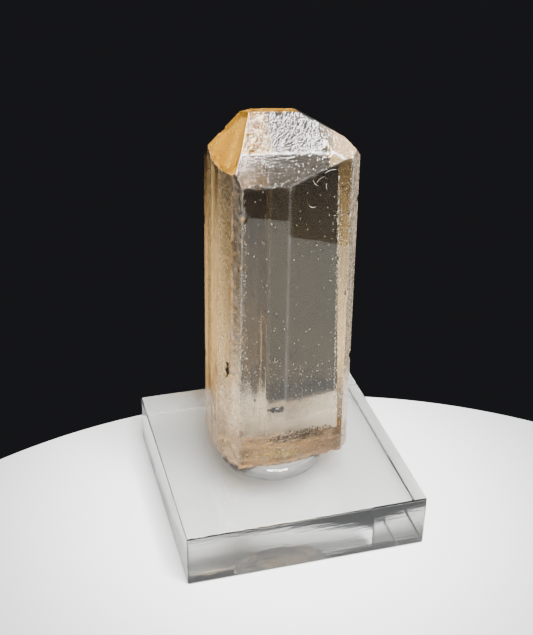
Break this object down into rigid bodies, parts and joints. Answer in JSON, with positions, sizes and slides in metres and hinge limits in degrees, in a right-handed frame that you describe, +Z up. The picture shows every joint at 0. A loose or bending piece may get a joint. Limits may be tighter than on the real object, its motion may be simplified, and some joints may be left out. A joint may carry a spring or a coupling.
{
  "type": "topaz crystal on a clear block",
  "caption": "Tall clear peach topaz prism with a wedge-shaped end, set in a drop of clear adhesive on a square clear acrylic block.",
  "frame": {"origin": "middle of the block's underside, on the surface that it stands on", "axes": "+Z up along the crystal, -Y towards the front edge of the block, +X to the right along that edge"},
  "size_m": [0.0508, 0.0508, 0.0889],
  "materials": {
    "topaz": "clear, etched and finely striated",
    "adhesive": "clear, glossy",
    "acrylic": "clear, polished"
  },
  "bodies": {
    "root": {"topaz_crystal": "topaz", "clear_adhesive": "adhesive", "acrylic_base": "acrylic"}
  },
  "joints": []
}
